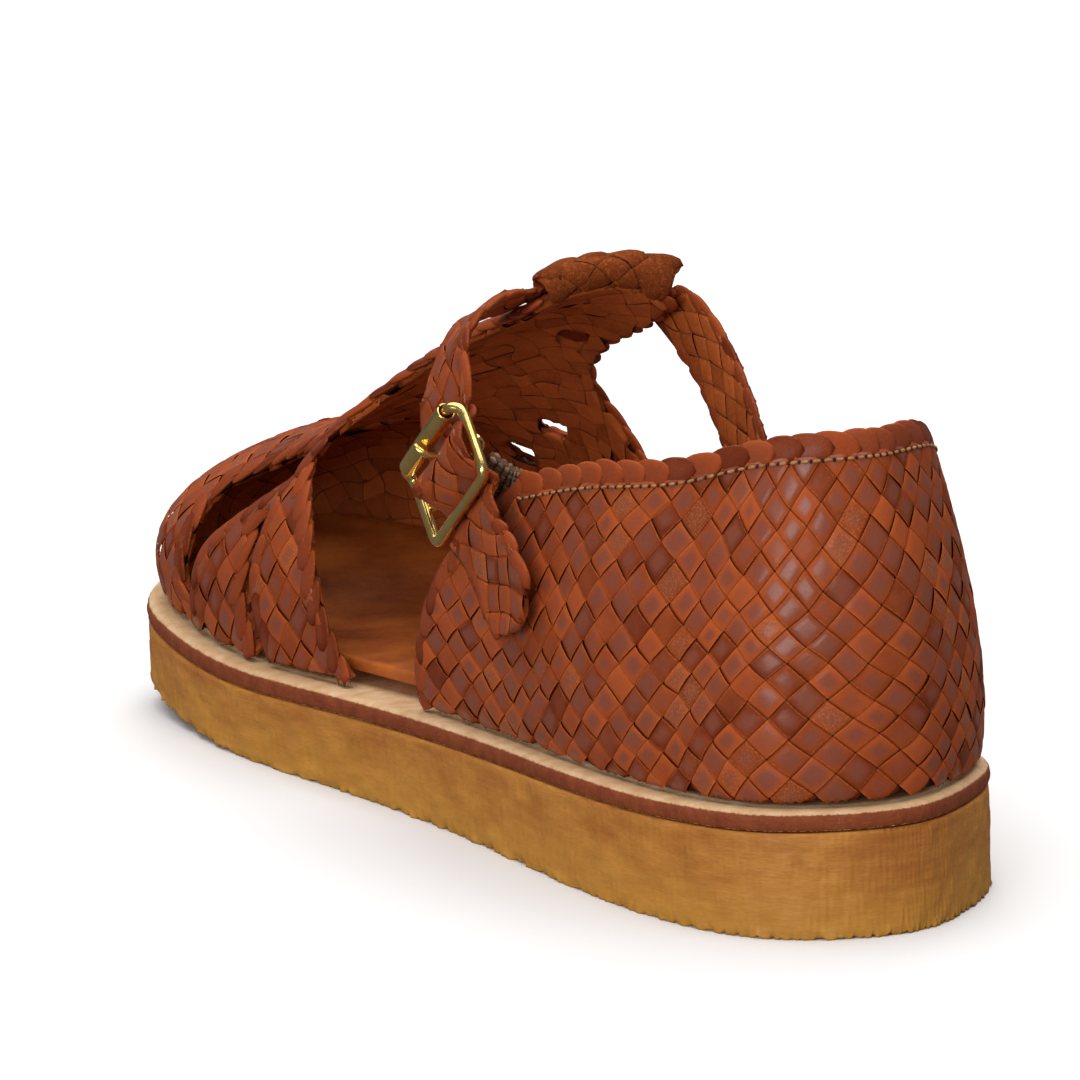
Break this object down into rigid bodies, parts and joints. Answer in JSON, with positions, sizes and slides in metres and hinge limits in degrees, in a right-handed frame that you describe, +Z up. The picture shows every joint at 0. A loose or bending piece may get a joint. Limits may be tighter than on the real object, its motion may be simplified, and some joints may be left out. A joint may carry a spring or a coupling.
{
  "type": "fisherman sandal",
  "caption": "Left woven leather fisherman sandal with a closed counter, braided bands over a T-bar, a buckled ankle strap and a flat crepe sole.",
  "frame": {"origin": "on the floor, under the middle of the shoe's outer box", "axes": "+Y towards the toe, +X towards the medial side, +Z up"},
  "size_m": [0.0893, 0.268, 0.103],
  "materials": {
    "crepe": "matte, lightly mottled",
    "midsole": "painted edge, raw cream top",
    "insole": "smooth, semi-matte",
    "woven_leather": "burnished and waxed",
    "elastic": "woven, grey-beige",
    "gold": "polished"
  },
  "bodies": {
    "root": {"outsole": "crepe", "midsole": "midsole", "insole": "insole", "upper": "woven_leather", "ankle_strap": "woven_leather", "elastic": "elastic", "buckle_frame": "gold", "buckle_roller": "gold", "buckle_prong": "gold"}
  },
  "joints": []
}
